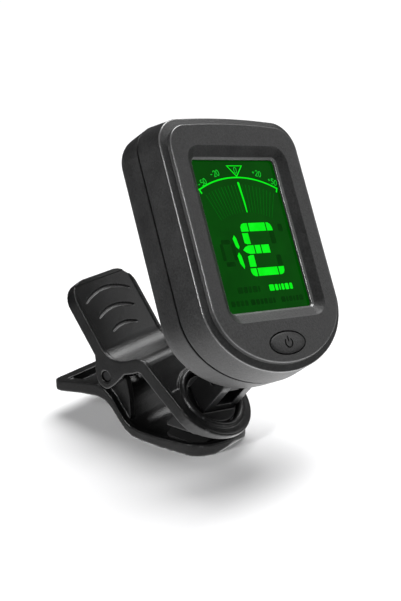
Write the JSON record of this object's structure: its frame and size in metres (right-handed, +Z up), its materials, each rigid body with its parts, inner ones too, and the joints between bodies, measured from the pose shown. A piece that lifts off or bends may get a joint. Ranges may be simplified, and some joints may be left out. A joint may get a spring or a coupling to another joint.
{
  "type": "clip on tuner",
  "caption": "Instrument tuner with a D-shaped display head on a fork hinge and turntable, on a sprung clip with a thumb pad.",
  "frame": {"origin": "middle of the flat underside of the lower jaw, which the clip stands on", "axes": "+Z up, out of the underside; X along the hinge pin; +Y towards the handles"},
  "size_m": [0.0445, 0.0574, 0.0661],
  "materials": {
    "case_plastic": "fine-grained matt charcoal",
    "clip_plastic": "satin black",
    "rubber": "matt",
    "steel": "bright",
    "lens": "clear, glossy",
    "display": "green display glass",
    "light_guide": "milky",
    "frame_plastic": "light grey",
    "connector": "matt",
    "board": "green lacquer",
    "chip": "moulded black",
    "brass": "satin"
  },
  "bodies": {
    "lower_clip": {"lower_jaw": "clip_plastic", "lower_grip_pad": "rubber", "hinge_pin": "steel", "torsion_spring": "steel"},
    "upper_clip": {"upper_jaw": "clip_plastic", "upper_grip_pad": "rubber"},
    "turntable": {"tilt_knuckle": "clip_plastic", "tilt_pin": "steel", "swivel_screw": "steel"},
    "head": {"front_bezel": "case_plastic", "rear_case": "case_plastic", "display_lens": "lens", "lcd_panel": "display", "backlight": "light_guide", "display_frame": "frame_plastic", "lcd_connector": "connector", "circuit_board": "board", "controller_chip": "chip", "power_switch": "steel", "coin_cell": "steel", "battery_contact_side": "brass", "battery_contact_floor": "brass", "piezo_disc": "brass", "case_screw_1": "steel", "case_screw_2": "steel", "case_screw_3": "steel", "case_screw_4": "steel"},
    "button": {"power_button": "case_plastic"},
    "cover": {"battery_cover": "case_plastic"}
  },
  "joints": [
    {"name": "clip_open", "type": "hinge", "parent": "lower_clip", "child": "upper_clip", "pos_m": [0, 0.0166, 0.0119], "axis": [-1, 0, 0], "range_deg": [0, 35], "stiffness_Nm_per_rad": 0.02, "springref_deg": -45.84, "deforming": ["torsion_spring"]},
    {"name": "head_swivel", "type": "hinge", "parent": "upper_clip", "child": "turntable", "pos_m": [0, -0.004, 0.0098], "axis": [0, -0.6198, 0.7848], "continuous": true},
    {"name": "head_tilt", "type": "hinge", "parent": "turntable", "child": "head", "pos_m": [0, -0.00821, 0.01514], "axis": [0.9715, -0.1859, -0.1468], "range_deg": [-25, 65]},
    {"name": "button_press", "type": "slide", "parent": "head", "child": "button", "axis": [0.0876, 0.8578, -0.5065], "range_m": [0, 0.0004], "stiffness_N_per_m": 800, "springref_m": -0.0005},
    {"name": "cover_off", "type": "slide", "parent": "head", "child": "cover", "axis": [0.0876, 0.8578, -0.5065], "range_m": [0, 0.012]}
  ]
}
